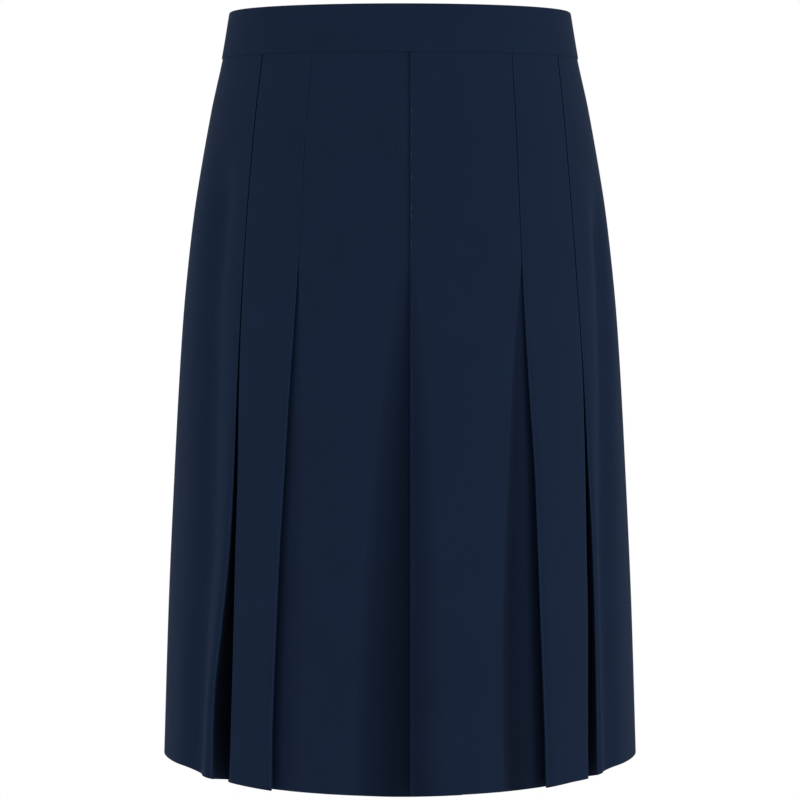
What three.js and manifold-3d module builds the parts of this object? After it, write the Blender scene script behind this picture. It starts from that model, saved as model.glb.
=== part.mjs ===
// Pleated midi skirt, filled out as if it were worn.
// Millimetres, +Z up. The origin is the middle of the waist, halfway up the waistband.
// The front faces -Y. Left and right are the wearer's, so the left side is at +X.
import * as THREE from "three";
import { mergeVertices } from "three/addons/utils/BufferGeometryUtils.js";
import Module from "manifold-3d";

const wasm = await Module();
wasm.setup();

// Driving sizes
const LENGTH = 650; // waistband's top to hem
const BAND_HEIGHT = 37;
const BAND_THICK = 2.4;
const BAND_EDGE_THICK = 1.4; // where the band's top and bottom edges are rounded
const BAND_EDGE_HEIGHT = 0.8;
const CLOTH = 1; // thickness of the skirt's cloth
const SEAM_GAP = 0.3; // between two pieces that are sewn together
const LAYER = 1.6; // middle to middle of the two layers beside a fold
const UNDERLAY = CLOTH + SEAM_GAP; // middle to middle of a pleat's return and the cloth under it
const STITCHED = -194; // the pleats are sewn down to this height
const SET_IN = 0.5; // the panels' faces start this far inside the waistband's face
const SET_IN_END = -60; // and are flush with the outline from this height down
const CENTRE_FOLD = 8.5; // the centre pleat's edge lies left of the middle
const STEP = 2; // beside a sewn-down edge the cloth below takes this width to come up
const EDGE_ROLL = 3; // a sewn-down edge is pressed flat up to here
const PARTING = 1.8; // how much sooner than evenly the pleats part below the stitches

const TOP = BAND_HEIGHT / 2;
const BAND_BOTTOM = -TOP;
const HEM = TOP - LENGTH;
const PANEL_TOP = BAND_BOTTOM - SEAM_GAP;
const PANEL_HEIGHTS = [PANEL_TOP, -60, -107, -150, STITCHED, -240, -303, -369, -436, -502, -560, -600, HEM];

// The outline by height: half width, half depth in front and behind, and how pointed the
// sides are, where 1 is an ellipse and more is more pointed.
const LEVELS = [
  { z: TOP, halfWidth: 147.3, front: 107, back: 105, sides: 0.84 },
  { z: BAND_BOTTOM, halfWidth: 153.7, front: 109, back: 107, sides: 0.86 },
  { z: -60, halfWidth: 162.2, front: 115.4, back: 116, sides: 0.88 },
  { z: -107, halfWidth: 171.1, front: 122, back: 127, sides: 0.92 },
  { z: -150, halfWidth: 178.3, front: 127, back: 135, sides: 0.96 },
  { z: STITCHED, halfWidth: 183.9, front: 131, back: 140, sides: 1 },
  { z: -240, halfWidth: 188.6, front: 134, back: 143, sides: 1.02 },
  { z: -303, halfWidth: 193.2, front: 138, back: 146, sides: 1.06 },
  { z: -369, halfWidth: 197.1, front: 142, back: 149, sides: 1.1 },
  { z: -502, halfWidth: 203.9, front: 150, back: 153.5, sides: 1.16 },
  { z: HEM, halfWidth: 208.5, front: 156.5, back: 158, sides: 1.2 },
];

// Where the folded edges lie on each quarter, as distances across from the middle. The inner
// pleat has one edge. The outer pleat has the mid panel's edge and the side panel's, which
// part towards the hem.
const FRONT_LEFT_FOLDS = [
  { z: BAND_BOTTOM, inner: 93.5, mid: 133.5, side: 133.5 },
  { z: -107, inner: 97.7, mid: 140.9, side: 140.9 },
  { z: STITCHED, inner: 101.2, mid: 147.7, side: 147.7 },
  { z: -303, inner: 107.9, mid: 155.5, side: 156 },
  { z: -369, inner: 112.8, mid: 157.8, side: 159.6 },
  { z: -436, inner: 115.8, mid: 159.4, side: 163.9 },
  { z: -502, inner: 118.5, mid: 161, side: 166.4 },
  { z: -560, inner: 121, mid: 161.2, side: 167.6 },
  { z: -600, inner: 122.6, mid: 161.4, side: 168.2 },
  { z: HEM, inner: 123.4, mid: 162, side: 168.6 },
];
const FRONT_RIGHT_FOLDS = [
  { z: BAND_BOTTOM, inner: 73.5, mid: 115.3, side: 115.3 },
  { z: -107, inner: 79.3, mid: 124, side: 124 },
  { z: STITCHED, inner: 84, mid: 130.6, side: 130.6 },
  { z: -303, inner: 91.9, mid: 135.8, side: 136.6 },
  { z: -369, inner: 96.2, mid: 137.2, side: 138.8 },
  { z: -436, inner: 100.5, mid: 139.6, side: 142.2 },
  { z: -502, inner: 103.6, mid: 141.4, side: 148.4 },
  { z: -560, inner: 106.1, mid: 143.2, side: 154.4 },
  { z: -600, inner: 107.3, mid: 144.6, side: 155.8 },
  { z: HEM, inner: 107.5, mid: 146, side: 156 },
];
const BACK_FOLDS = [
  { z: BAND_BOTTOM, inner: 80, mid: 122, side: 122 },
  { z: -107, inner: 86.5, mid: 131.5, side: 131.5 },
  { z: STITCHED, inner: 91, mid: 138, side: 138 },
  { z: -303, inner: 98.2, mid: 145.1, side: 145.7 },
  { z: -369, inner: 102.6, mid: 147.6, side: 149 },
  { z: -436, inner: 106.5, mid: 149.2, side: 152.7 },
  { z: -502, inner: 110, mid: 150.5, side: 156.6 },
  { z: HEM, inner: 115, mid: 153, side: 162 },
];

// Each pleat: how deep it is folded at the waist and at the hem. The rest is at the hem: how
// wide the hollow beside its edge is, how much of that is its floor, how far the cloth below
// stands away, and how wide and how far the folded edge rolls inwards.
const PLEATS = {
  centre: { waistDepth: 24, hemDepth: 38, hollow: 50, floor: 14, open: 9, roll: 30, drop: 3 },
  innerLeft: { waistDepth: 15, hemDepth: 18, hollow: 46, floor: 28, open: 7, roll: 8, drop: 1.5 },
  innerRight: { waistDepth: 15, hemDepth: 18, hollow: 36, floor: 6, open: 4, roll: 6, drop: 1 },
  innerBack: { waistDepth: 15, hemDepth: 18, hollow: 36, floor: 12, open: 10, roll: 8, drop: 1.5 },
  outer: { waistDepth: 15, hemDepth: 19, hollow: 0, floor: 0, open: 22, roll: 5, drop: 2 },
};

// Zip at the centre back
const ZIP_GAP = 2.4; // between the waistband's ends, and between the two tapes
const TAPE_WIDTH = 11.5;
const TAPE_THICK = 0.8;
const TAPE_TOP = 15;
const TAPE_BOTTOM = -185;
const TAPE_HEIGHTS = [TAPE_TOP, PANEL_TOP, -60, -107, -150, TAPE_BOTTOM];
const SLIDER_Z = 9;
const SLIDER_THROAT = 1.6; // width of the neck and the eye
const SLIDER_BODY = { wide: 6, tall: 9, thick: 2.4 };
const EYE = { out: 1.6, hole: 1.05, rim: 1.9 }; // the eye's middle stands out from the band
const NECK_HEIGHT = 3.2;
const TAB = {
  bar: 0.6, // half the height of the bar that runs through the eye
  window: 3.2,
  windowHalf: 1.3,
  shoulder: 4.2, // the plate widens from here down
  topHalf: 2.5,
  endHalf: 3.4,
  long: 19,
  thick: 1,
};

const navy = new THREE.Color(0x1b2538);
const cloth = new THREE.MeshStandardMaterial({ color: navy, roughness: 0.85, metalness: 0 });
const band = new THREE.MeshStandardMaterial({ color: navy, roughness: 0.85, metalness: 0 });
const tape = new THREE.MeshStandardMaterial({ color: 0x161d2c, roughness: 0.9, metalness: 0 });
const metal = new THREE.MeshStandardMaterial({ color: 0x1e2636, roughness: 0.35, metalness: 0.7 });

const mix = THREE.MathUtils.lerp;

// The value of one column at a height, straight between the table's rows.
function column(rows, key, z) {
  const below = rows.findIndex((row) => row.z <= z);
  if (below < 0) return rows[rows.length - 1][key];
  if (below === 0) return rows[0][key];
  const high = rows[below - 1];
  const low = rows[below];
  return mix(high[key], low[key], (high.z - z) / (high.z - low.z));
}

// The outline at one height. A place on it is its arc length from the middle of the front,
// negative on the right side and positive on the left. Both ends meet at the centre back.
const GIRTH_STEPS = 720;
function girthAt(z) {
  const halfWidth = column(LEVELS, "halfWidth", z);
  const sides = column(LEVELS, "sides", z);
  const points = [];
  const lengths = [];
  for (let i = 0; i <= GIRTH_STEPS; i++) {
    const turn = Math.PI * ((2 * i) / GIRTH_STEPS - 1);
    const facing = Math.cos(turn);
    const depth = facing > 0 ? -column(LEVELS, "front", z) : column(LEVELS, "back", z);
    points.push(new THREE.Vector2(halfWidth * Math.sin(turn), depth * Math.abs(facing) ** sides));
    lengths.push(i ? lengths[i - 1] + points[i].distanceTo(points[i - 1]) : 0);
  }
  const half = lengths[GIRTH_STEPS / 2];
  const tangent = (i) => {
    const next = points[Math.min(i + 1, GIRTH_STEPS)];
    return next.clone().sub(points[Math.max(i - 1, 0)]).normalize();
  };
  return {
    half,
    // Arc length from the middle of the front or of the back to the point that lies at
    // a distance across.
    reach(across, fromBack) {
      const turn = Math.asin(across / halfWidth);
      const index = ((turn / Math.PI + 1) * GIRTH_STEPS) / 2;
      const mirrored = fromBack ? GIRTH_STEPS - (index - GIRTH_STEPS / 2) : index;
      const low = Math.floor(mirrored);
      const high = Math.min(low + 1, GIRTH_STEPS);
      const length = mix(lengths[low], lengths[high], mirrored - low) - half;
      return fromBack ? half - length : length;
    },
    side: lengths[(3 * GIRTH_STEPS) / 4] - half, // from the middle of the front to a side
    // The point at an arc length, moved inwards by a depth.
    point(arc, depth) {
      const wanted = THREE.MathUtils.clamp(arc + half, 0, 2 * half);
      const found = lengths.findIndex((length) => length > wanted);
      const high = found < 0 ? GIRTH_STEPS : Math.max(found, 1);
      const low = high - 1;
      const share = (wanted - lengths[low]) / (lengths[high] - lengths[low]);
      const along = tangent(low).lerp(tangent(high), share).normalize();
      const point = points[low].clone().lerp(points[high], share);
      return point.add(new THREE.Vector2(-along.y, along.x).multiplyScalar(depth));
    },
  };
}
const girths = new Map();
function girth(z) {
  if (!girths.has(z)) girths.set(z, girthAt(z));
  return girths.get(z);
}

// Moves a line of points sideways by a distance, keeping its corners square to it.
function beside(line, distance) {
  const across = (from, to) => {
    const way = to.clone().sub(from).normalize();
    return new THREE.Vector2(way.y, -way.x);
  };
  return line.map((point, i) => {
    const before = across(line[Math.max(i - 1, 0)], line[Math.max(i, 1)]);
    const last = line.length - 1;
    const after = across(line[Math.min(i, last - 1)], line[Math.min(i + 1, last)]);
    const way = before.clone().add(after).normalize();
    return point.clone().add(way.multiplyScalar(distance / way.dot(before)));
  });
}

// A wall through level sections. Each section has a height, a line along the middle of the
// wall and a thickness, and all lines have as many points.
function wall(sections) {
  const rows = sections.map(({ z, line, thickness }) => ({
    z,
    sides: [beside(line, thickness / 2), beside(line, -thickness / 2)],
  }));
  const points = rows[0].sides[0].length;
  const positions = [];
  for (const { z, sides } of rows) {
    for (const side of sides) {
      for (const point of side) positions.push(point.x, point.y, z);
    }
  }
  const outer = (i, j) => 2 * i * points + j;
  const inner = (i, j) => (2 * i + 1) * points + j;
  const faces = [];
  const quad = (a, b, c, d) => faces.push([a, b, c], [a, c, d]);
  const lastRow = rows.length - 1;
  const lastPoint = points - 1;
  for (let i = 0; i < lastRow; i++) {
    for (let j = 0; j < lastPoint; j++) {
      quad(outer(i, j), outer(i + 1, j), outer(i + 1, j + 1), outer(i, j + 1));
      quad(inner(i, j), inner(i, j + 1), inner(i + 1, j + 1), inner(i + 1, j));
    }
    quad(outer(i, 0), inner(i, 0), inner(i + 1, 0), outer(i + 1, 0));
    quad(outer(i, lastPoint), outer(i + 1, lastPoint), inner(i + 1, lastPoint), inner(i, lastPoint));
  }
  for (let j = 0; j < lastPoint; j++) {
    quad(outer(0, j), outer(0, j + 1), inner(0, j + 1), inner(0, j));
    quad(outer(lastRow, j), inner(lastRow, j), inner(lastRow, j + 1), outer(lastRow, j + 1));
  }
  const geometry = new THREE.BufferGeometry();
  geometry.setAttribute("position", new THREE.Float32BufferAttribute(positions, 3));
  const turned = enclosed(positions, faces) < 0;
  geometry.setIndex(faces.map((face) => (turned ? face.reverse() : face)).flat());
  geometry.computeVertexNormals();
  return geometry;
}

// Six times the volume that triangles enclose, negative when they face inwards.
function enclosed(positions, faces) {
  const corner = (i) => new THREE.Vector3().fromArray(positions, 3 * i);
  return faces.reduce((sum, [a, b, c]) => sum + corner(a).dot(corner(b).cross(corner(c))), 0);
}

const skirt = new THREE.Group();

function addMesh(parent, name, geometry, material) {
  const mesh = new THREE.Mesh(geometry, material);
  mesh.name = name;
  parent.add(mesh);
  return mesh;
}

// How far the middle of the panels' cloth lies inside the outline.
function clothDepth(z) {
  const share = THREE.MathUtils.clamp((z - SET_IN_END) / (BAND_BOTTOM - SET_IN_END), 0, 1);
  return SET_IN * share + CLOTH / 2;
}

// A pleat's sizes at a height. It is flush where it is sewn down, and parts below that.
function pleatAt(pleat, z) {
  const share = (BAND_BOTTOM - z) / (BAND_BOTTOM - HEM);
  const loose = Math.max(0, (STITCHED - z) / (STITCHED - HEM));
  const parted = 1 - (1 - loose) ** PARTING;
  const back = LAYER + (pleat.open + pleat.drop) * parted;
  return {
    depth: mix(pleat.waistDepth, pleat.hemDepth, share),
    hollow: mix(STEP, pleat.hollow, parted),
    floor: pleat.floor * parted,
    roll: mix(EDGE_ROLL, pleat.roll, parted),
    drop: pleat.drop * parted,
    back, // how deep the return lies at the hidden seam
    low: back + UNDERLAY, // how deep the cloth below it lies
  };
}

// A folded edge that lies on its neighbour: from the surface, round the fold and back under
// the panel to the hidden seam. It points the way given, +1 or -1. Each point is a place
// along the outline and a depth under the surface.
function fold(edge, way, pleat, z) {
  const { depth, roll, drop, back } = pleatAt(pleat, z);
  const tip = edge - way * CLOTH * Math.SQRT1_2;
  const turn = LAYER / 2;
  const start = tip - way * turn;
  return [
    [start - way * roll, 0],
    [start - (way * roll) / 2, drop / 4],
    [start, drop],
    [tip, drop + turn],
    [start, drop + LAYER],
    [edge - (way * depth) / 2, (drop + LAYER + back) / 2],
    [edge - way * depth, back],
  ];
}

// Cloth that runs under its neighbour's folded edge, the way given: from the surface, down
// in a soft S to the hollow's floor, and on to the hidden seam.
const SLOPE_STEPS = 5;
function under(edge, way, pleat, z) {
  const { depth, hollow, floor, low } = pleatAt(pleat, z);
  const slope = Array.from({ length: SLOPE_STEPS + 1 }, (_, i) => {
    const share = i / SLOPE_STEPS;
    const place = edge - way * mix(hollow, floor, share);
    return [place, (low * (1 - Math.cos(Math.PI * share))) / 2];
  });
  return [...slope, [edge + (way * depth) / 2, low], [edge + way * depth, low]];
}

// Points on the surface between two places, ends left out.
function flat(from, to, count) {
  return Array.from({ length: count }, (_, i) => [mix(from, to, (i + 1) / (count + 1)), 0]);
}

// A quarter of the skirt. Places on it are arc lengths from the middle of the front or back
// towards its own side.
function quarter(name, side, fromBack, folds, inner) {
  const edge = (key, z) => girth(z).reach(column(folds, key, z), fromBack);
  const seam = (z) => (fromBack ? girth(z).half - girth(z).side : girth(z).side) - SEAM_GAP / 2;
  // The outer pleat's two edges stay a seam's gap apart where the pleat is closed.
  const midEdge = (z) => edge("mid", z) - SEAM_GAP / 2;
  const sideEdge = (z) => edge("side", z) + SEAM_GAP / 2;
  const innerEdge = (z) => edge("inner", z);
  const panel = (piece, path) => {
    const sections = PANEL_HEIGHTS.map((z) => {
      const line = path(z).map(([place, depth]) => {
        const arc = side * (fromBack ? girth(z).half - place : place);
        return girth(z).point(arc, clothDepth(z) + depth);
      });
      return { z, line, thickness: CLOTH };
    });
    addMesh(skirt, piece, wall(sections), cloth);
  };
  return { name, inner, innerEdge, midEdge, sideEdge, seam, panel };
}

function sidePanel({ name, sideEdge, seam, panel }) {
  panel(name.replace("_", "_side_"), (z) => {
    const edge = fold(sideEdge(z), -1, PLEATS.outer, z);
    return [...edge.reverse(), ...flat(edge[edge.length - 1][0], seam(z), 4), [seam(z), 0]];
  });
}

function midPanel({ name, inner, innerEdge, midEdge, panel }) {
  panel(name.replace("_", "_mid_"), (z) => {
    const towardsMiddle = fold(innerEdge(z), -1, inner, z);
    const towardsSide = fold(midEdge(z), 1, PLEATS.outer, z);
    const surface = flat(towardsMiddle[0][0], towardsSide[0][0], 2);
    return [...towardsMiddle.reverse(), ...surface, ...towardsSide];
  });
}

// The strip behind an outer pleat's two edges.
function insetPanel({ name, midEdge, sideEdge, panel }) {
  panel(name.replace("_", "_inset_"), (z) => {
    const { depth, low } = pleatAt(PLEATS.outer, z);
    const places = [
      midEdge(z) - depth,
      midEdge(z) - depth / 2,
      (midEdge(z) + sideEdge(z)) / 2,
      sideEdge(z) + depth / 2,
      sideEdge(z) + depth,
    ];
    return places.map((place) => [place, low]);
  });
}

// The centre panels. The left one is folded at the centre pleat and lies on the right one.
// The back ones meet in a plain seam.
function centrePanel({ name, inner, innerEdge, panel }, start) {
  panel(name.replace("_", "_centre_"), (z) => {
    const middle = start(z);
    const end = under(innerEdge(z), 1, inner, z);
    const last = middle[middle.length - 1][0];
    return [...middle, ...flat(last, end[0][0], 3), ...end];
  });
}

const frontLeft = quarter("front_left", 1, false, FRONT_LEFT_FOLDS, PLEATS.innerLeft);
const frontRight = quarter("front_right", -1, false, FRONT_RIGHT_FOLDS, PLEATS.innerRight);
const backLeft = quarter("back_left", 1, true, BACK_FOLDS, PLEATS.innerBack);
const backRight = quarter("back_right", -1, true, BACK_FOLDS, PLEATS.innerBack);
for (const part of [frontLeft, frontRight, backLeft, backRight]) {
  sidePanel(part);
  insetPanel(part);
  midPanel(part);
}
centrePanel(frontLeft, (z) => fold(CENTRE_FOLD, -1, PLEATS.centre, z).reverse());
centrePanel(frontRight, (z) => under(-CENTRE_FOLD, -1, PLEATS.centre, z).reverse());
for (const part of [backLeft, backRight]) centrePanel(part, () => [[SEAM_GAP / 2, 0]]);

// The waistband: a wall from one place on the outline to another.
function waistband(name, from, to, count) {
  const heights = [
    { z: TOP, thickness: BAND_EDGE_THICK },
    { z: TOP - BAND_EDGE_HEIGHT, thickness: BAND_THICK },
    { z: BAND_BOTTOM + BAND_EDGE_HEIGHT, thickness: BAND_THICK },
    { z: BAND_BOTTOM, thickness: BAND_EDGE_THICK },
  ];
  const sections = heights.map(({ z, thickness }) => {
    const start = from(girth(z));
    const end = to(girth(z));
    const line = Array.from({ length: count + 1 }, (_, i) =>
      girth(z).point(mix(start, end, i / count), BAND_THICK / 2),
    );
    return { z, line, thickness };
  });
  addMesh(skirt, name, wall(sections), band);
}
const SIDE_STEPS = 14; // from the middle to a side
waistband(
  "waistband_front",
  ({ side }) => SEAM_GAP / 2 - side,
  ({ side }) => side - SEAM_GAP / 2,
  2 * SIDE_STEPS,
);
waistband(
  "waistband_back_left",
  ({ side }) => side + SEAM_GAP / 2,
  ({ half }) => half - ZIP_GAP / 2,
  SIDE_STEPS,
);
waistband(
  "waistband_back_right",
  ({ half }) => ZIP_GAP / 2 - half,
  ({ side }) => -side - SEAM_GAP / 2,
  SIDE_STEPS,
);

// The zip's tapes lie inside the waistband and then inside the back panels.
const TAPE_IN_BAND = BAND_THICK + SEAM_GAP + TAPE_THICK / 2;
function tapeDepth(z) {
  const behindCloth = CLOTH + SEAM_GAP + TAPE_THICK / 2;
  const share = THREE.MathUtils.clamp((z - SET_IN_END) / (PANEL_TOP - SET_IN_END), 0, 1);
  return mix(behindCloth, TAPE_IN_BAND, share);
}
for (const [name, side] of [
  ["zip_tape_left", 1],
  ["zip_tape_right", -1],
]) {
  const sections = TAPE_HEIGHTS.map((z) => {
    const line = [0, 1].map((share) => {
      const place = girth(z).half - ZIP_GAP / 2 - share * TAPE_WIDTH;
      return girth(z).point(side * place, tapeDepth(z));
    });
    return { z, line, thickness: TAPE_THICK };
  });
  addMesh(skirt, name, wall(sections), tape);
}

// The slider and its pull tab are built in a frame that lies on the waistband's face at the
// centre back: +X across, +Y out, +Z up the band.
const zipFrame = new THREE.Group();
const bandSlope = (column(LEVELS, "back", BAND_BOTTOM) - column(LEVELS, "back", TOP)) / BAND_HEIGHT;
zipFrame.position.set(0, column(LEVELS, "back", SLIDER_Z), SLIDER_Z);
zipFrame.rotation.x = Math.atan(bandSlope);
skirt.add(zipFrame);

function solid(geometry) {
  const bare = geometry.index ? geometry.toNonIndexed() : geometry.clone();
  bare.deleteAttribute("normal");
  bare.deleteAttribute("uv");
  const merged = mergeVertices(bare, 1e-4);
  const vertProperties = merged.attributes.position.array;
  const triVerts = new Uint32Array(merged.index.array);
  return new wasm.Manifold(new wasm.Mesh({ numProp: 3, vertProperties, triVerts }));
}

function geometryOf(manifold) {
  const { numProp, vertProperties, triVerts } = manifold.getMesh();
  const geometry = new THREE.BufferGeometry();
  geometry.setAttribute("position", new THREE.BufferAttribute(vertProperties, numProp));
  geometry.setIndex(new THREE.BufferAttribute(triVerts, 1));
  geometry.computeVertexNormals();
  return geometry;
}

// The slider: a body behind the tapes, a neck between them and an eye outside the band.
function sliderGeometry() {
  const bodyFace = -(TAPE_IN_BAND + TAPE_THICK / 2 + SEAM_GAP);
  const { wide, tall, thick } = SLIDER_BODY;
  const body = new THREE.BoxGeometry(wide, thick, tall);
  body.translate(0, bodyFace - thick / 2, 0);
  const neckStart = bodyFace - thick / 2;
  const neckLength = EYE.out - EYE.hole - neckStart;
  const neck = new THREE.BoxGeometry(SLIDER_THROAT, neckLength, NECK_HEIGHT);
  neck.translate(0, neckStart + neckLength / 2, 0);
  const ring = new THREE.Shape().absarc(0, 0, EYE.rim, 0, 2 * Math.PI);
  const across = { depth: SLIDER_THROAT, bevelEnabled: false, curveSegments: 16 };
  const eye = new THREE.ExtrudeGeometry(ring, across);
  eye.translate(0, 0, -SLIDER_THROAT / 2);
  eye.rotateY(Math.PI / 2);
  eye.translate(0, EYE.out, 0);
  const drill = new THREE.CylinderGeometry(EYE.hole, EYE.hole, 2 * SLIDER_THROAT, 12);
  drill.rotateZ(Math.PI / 2);
  drill.translate(0, EYE.out, 0);
  return geometryOf(solid(body).add(solid(neck)).add(solid(eye)).subtract(solid(drill)));
}

// The pull tab: a bar through the eye, a window round it and a plate that widens downwards.
function tabGeometry() {
  const { bar, window, windowHalf, shoulder, topHalf, endHalf, long, thick } = TAB;
  const outline = new THREE.Shape();
  outline.moveTo(-topHalf, bar);
  outline.lineTo(-topHalf, -shoulder);
  outline.absarc(0, endHalf - long, endHalf, Math.PI, 2 * Math.PI, false);
  outline.lineTo(topHalf, -shoulder);
  outline.lineTo(topHalf, bar);
  const hole = new THREE.Path();
  hole.moveTo(-windowHalf, -bar);
  hole.lineTo(windowHalf, -bar);
  hole.lineTo(windowHalf, -window);
  hole.lineTo(-windowHalf, -window);
  outline.holes.push(hole);
  const tab = new THREE.ExtrudeGeometry(outline, { depth: thick, bevelEnabled: false, curveSegments: 8 });
  tab.translate(0, 0, -thick / 2);
  tab.rotateX(Math.PI / 2);
  return tab;
}

addMesh(zipFrame, "zip_slider", sliderGeometry(), metal);
const tab = addMesh(zipFrame, "zip_pull", tabGeometry(), metal);
tab.position.y = EYE.out;

export default skirt;
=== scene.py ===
"""Pleated midi skirt, filled out as if it were worn.

Lengths are in millimetres, +Z up, and the meshes are made in metres. The front faces -Y.
Left and right are the wearer's, so the left side is at +X. The outline and the pleats
repeat the frame's own sizes, and each piece stands for the frame's node of its name.
"""
import math

import bpy
import numpy as np
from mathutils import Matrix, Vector


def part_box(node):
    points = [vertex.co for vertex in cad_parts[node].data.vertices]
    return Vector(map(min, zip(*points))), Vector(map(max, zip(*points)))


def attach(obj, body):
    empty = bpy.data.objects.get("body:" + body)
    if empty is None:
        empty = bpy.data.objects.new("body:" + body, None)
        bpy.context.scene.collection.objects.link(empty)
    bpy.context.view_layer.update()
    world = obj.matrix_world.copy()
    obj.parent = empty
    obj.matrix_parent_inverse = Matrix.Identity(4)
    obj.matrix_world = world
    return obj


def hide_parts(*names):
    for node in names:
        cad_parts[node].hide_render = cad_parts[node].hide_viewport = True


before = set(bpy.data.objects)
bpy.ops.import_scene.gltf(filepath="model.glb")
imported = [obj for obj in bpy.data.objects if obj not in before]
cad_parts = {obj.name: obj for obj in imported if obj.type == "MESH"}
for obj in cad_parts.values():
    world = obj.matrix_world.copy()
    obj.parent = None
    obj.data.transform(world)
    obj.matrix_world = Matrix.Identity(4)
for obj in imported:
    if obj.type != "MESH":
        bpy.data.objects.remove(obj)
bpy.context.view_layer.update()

MM = 0.001
BODY = "skirt"

# Heights, from the frame
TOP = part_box("waistband_front")[1].z / MM
BAND_LAP = 2.6  # the band is sewn down over the panels' upper edges
BAND_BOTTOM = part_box("waistband_front")[0].z / MM - BAND_LAP
PANEL_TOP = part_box("front_centre_left")[1].z / MM
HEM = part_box("front_centre_left")[0].z / MM
STITCHED = -194.0  # the pleats are sewn down to this height

# Cloth and folds
BAND_THICK = 2.4
CLOTH = 0.6
HEM_THICK = 1.1  # the cloth is turned up inside the hem
HEM_TURN = 36.0  # height of the turned-up cloth
SEAM_GAP = 0.01  # between two pieces that meet edge to edge
SEWN_GAP = 1.0  # between the two folded edges of an outer pleat where they are sewn down
LAYER = 1.6  # middle to middle of the two layers beside a fold
SEWN_LAYER = 0.75  # the same where the pleat is sewn down
UNDERLAY = 1.3  # middle to middle of a pleat's return and the cloth under it
SEWN_UNDERLAY = 0.7  # the same where the pleat is sewn down
SEAM_LAYER = 1.15  # the same at the hidden seam, at the hem
SEWN_SEAM_LAYER = 0.65  # and where it is sewn down
SEAM_ALLOWANCE = 9.0  # cloth past a seam
EDGE_ROLL = 3.0  # width of the stretch beside a sewn-down edge, which lies flat
PARTING = 1.8  # how much sooner than evenly the pleats part below the stitches
EDGE_FADE = 0.65  # a folded edge's painted shade fades over this share of its roll
PAINTED_HIGHLIGHT_SPREAD = 0.35  # share of the bend at a folded edge that gets a painted highlight
HANG = 0.26  # cloth that lies deeper hangs lower at the hem by this share of its depth
INSET_HANG = 0.34  # the same for the strip inside an outer pleat
SET_IN = 0.9  # the cloth lies this far under the band's surface where the band ends
SET_IN_END = -60.0  # and is level with the outline from here down
CENTRE_FOLD = 8.5  # the centre pleat's folded edge, to the left of the middle
ROW_STEP = 5.5  # height of a row of faces

# Points across each stretch of a panel
ROLL_POINTS = 9
BEND_POINTS = 9
RETURN_POINTS = 11
SLOPE_POINTS = 19
ALLOWANCE_POINTS = 5
SEAM_BEND_POINTS = 7
PRESSED_POINTS = 4
INSET_POINTS = 17
WIDE_FLAT_POINTS = 26
NARROW_FLAT_POINTS = 13

# The painted shade changes over this share of a bend, of a slope and of the floor behind it.
BEND_SHADE_FROM = 0.4
SLOPE_SHADE = 0.5
FLOOR_SHADE = 0.45

# The hem lifts a little at both sides, between two distances across from the middle.
SIDE_LIFT = 3.6
SIDE_LIFT_FROM = 158.0
SIDE_LIFT_FULL = 188.0
SIDE_LIFT_TOP = -530.0  # the lift fades out up to this height


def table(names, rows):
    """Rows under named columns: a list's columns as arrays, or each named row's own sizes."""
    names = names.split()
    if isinstance(rows, dict):
        return {key: dict(zip(names, sizes)) for key, sizes in rows.items()}
    return dict(zip(names, (np.array(column, float) for column in zip(*rows))))


# The outline by height: half width, half depth in front and behind, and how pointed the
# sides are, where 1 is an ellipse and more is more pointed.
LEVELS = table(
    "z half_width front back sides",
    [
        (18.5, 147.3, 107, 105, 0.84),
        (-18.5, 153.7, 109, 107, 0.86),
        (-60, 162.2, 115.4, 116, 0.88),
        (-107, 171.1, 122, 127, 0.92),
        (-150, 178.3, 127, 135, 0.96),
        (-194, 183.9, 131, 140, 1),
        (-240, 188.6, 134, 143, 1.02),
        (-303, 193.2, 138, 146, 1.06),
        (-369, 197.1, 142, 149, 1.1),
        (-502, 203.9, 150, 153.5, 1.16),
        (-631.5, 208.5, 156.5, 158, 1.2),
    ],
)

# Where the folded edges lie on each quarter, as distances across from the middle.
FRONT_LEFT_FOLDS = table(
    "z inner mid side",
    [
        (-18.5, 93.5, 133.5, 133.5),
        (-107, 97.7, 140.9, 140.9),
        (-194, 101.2, 147.7, 147.7),
        (-303, 107.9, 155.5, 156),
        (-369, 112.8, 157.8, 159.6),
        (-436, 115.8, 159.4, 163.9),
        (-502, 118.5, 161, 166.4),
        (-560, 121, 161.2, 167.6),
        (-600, 122.6, 161.4, 168.2),
        (-631.5, 123.4, 162, 168.6),
    ],
)
FRONT_RIGHT_FOLDS = table(
    "z inner mid side",
    [
        (-18.5, 73.5, 115.3, 115.3),
        (-107, 79.3, 124, 124),
        (-194, 84, 130.6, 130.6),
        (-303, 91.9, 135.8, 136.6),
        (-369, 96.2, 137.2, 138.8),
        (-436, 100.5, 139.6, 142.2),
        (-502, 103.6, 141.4, 148.4),
        (-560, 106.1, 143.2, 154.4),
        (-600, 107.3, 144.6, 155.8),
        (-631.5, 107.5, 146, 156),
    ],
)
BACK_FOLDS = table(
    "z inner mid side",
    [
        (-18.5, 80, 122, 122),
        (-107, 86.5, 131.5, 131.5),
        (-194, 91, 138, 138),
        (-303, 98.2, 145.1, 145.7),
        (-369, 102.6, 147.6, 149),
        (-436, 106.5, 149.2, 152.7),
        (-502, 110, 150.5, 156.6),
        (-631.5, 115, 153, 162),
    ],
)
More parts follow.
